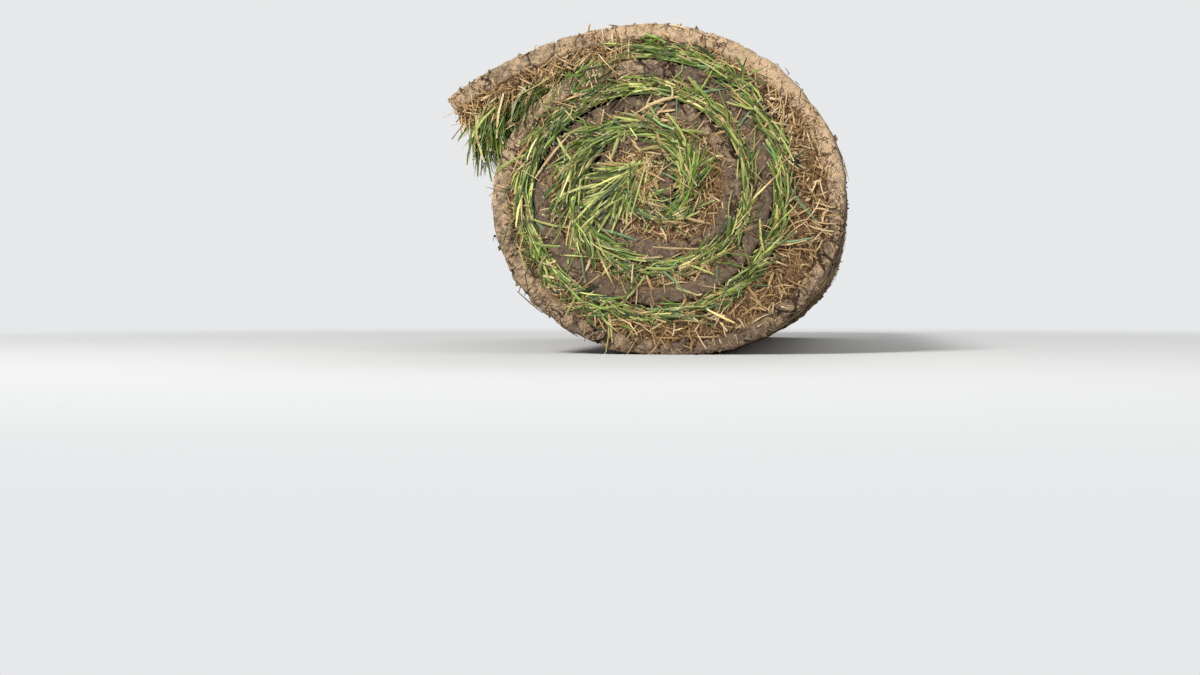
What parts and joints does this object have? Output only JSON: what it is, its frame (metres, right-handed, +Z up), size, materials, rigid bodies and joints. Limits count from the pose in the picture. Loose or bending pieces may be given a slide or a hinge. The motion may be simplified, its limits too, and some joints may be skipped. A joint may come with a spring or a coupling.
{
  "type": "turf roll",
  "caption": "Strip of mown turf rolled up grass side in, with its soil side out and its outer end sprung open. It lies on its side and is unrolled to cover ground.",
  "frame": {"origin": "middle of the pressed flat that the roll lies on, halfway along its axis", "axes": "+Y along the axis of the roll, +Z up from the floor, and the sprung-open outer end of the strip on the -X side"},
  "size_m": [0.2632, 0.61, 0.2163],
  "materials": {
    "soil": "dry cracked clay soil, matte",
    "thatch": "loose dry straw and fine roots, matte",
    "grass": "mown grass blades, slight sheen",
    "straw": "dead blades and cut stems, matte"
  },
  "bodies": {
    "root": {"turf_roll": "soil"}
  },
  "joints": []
}
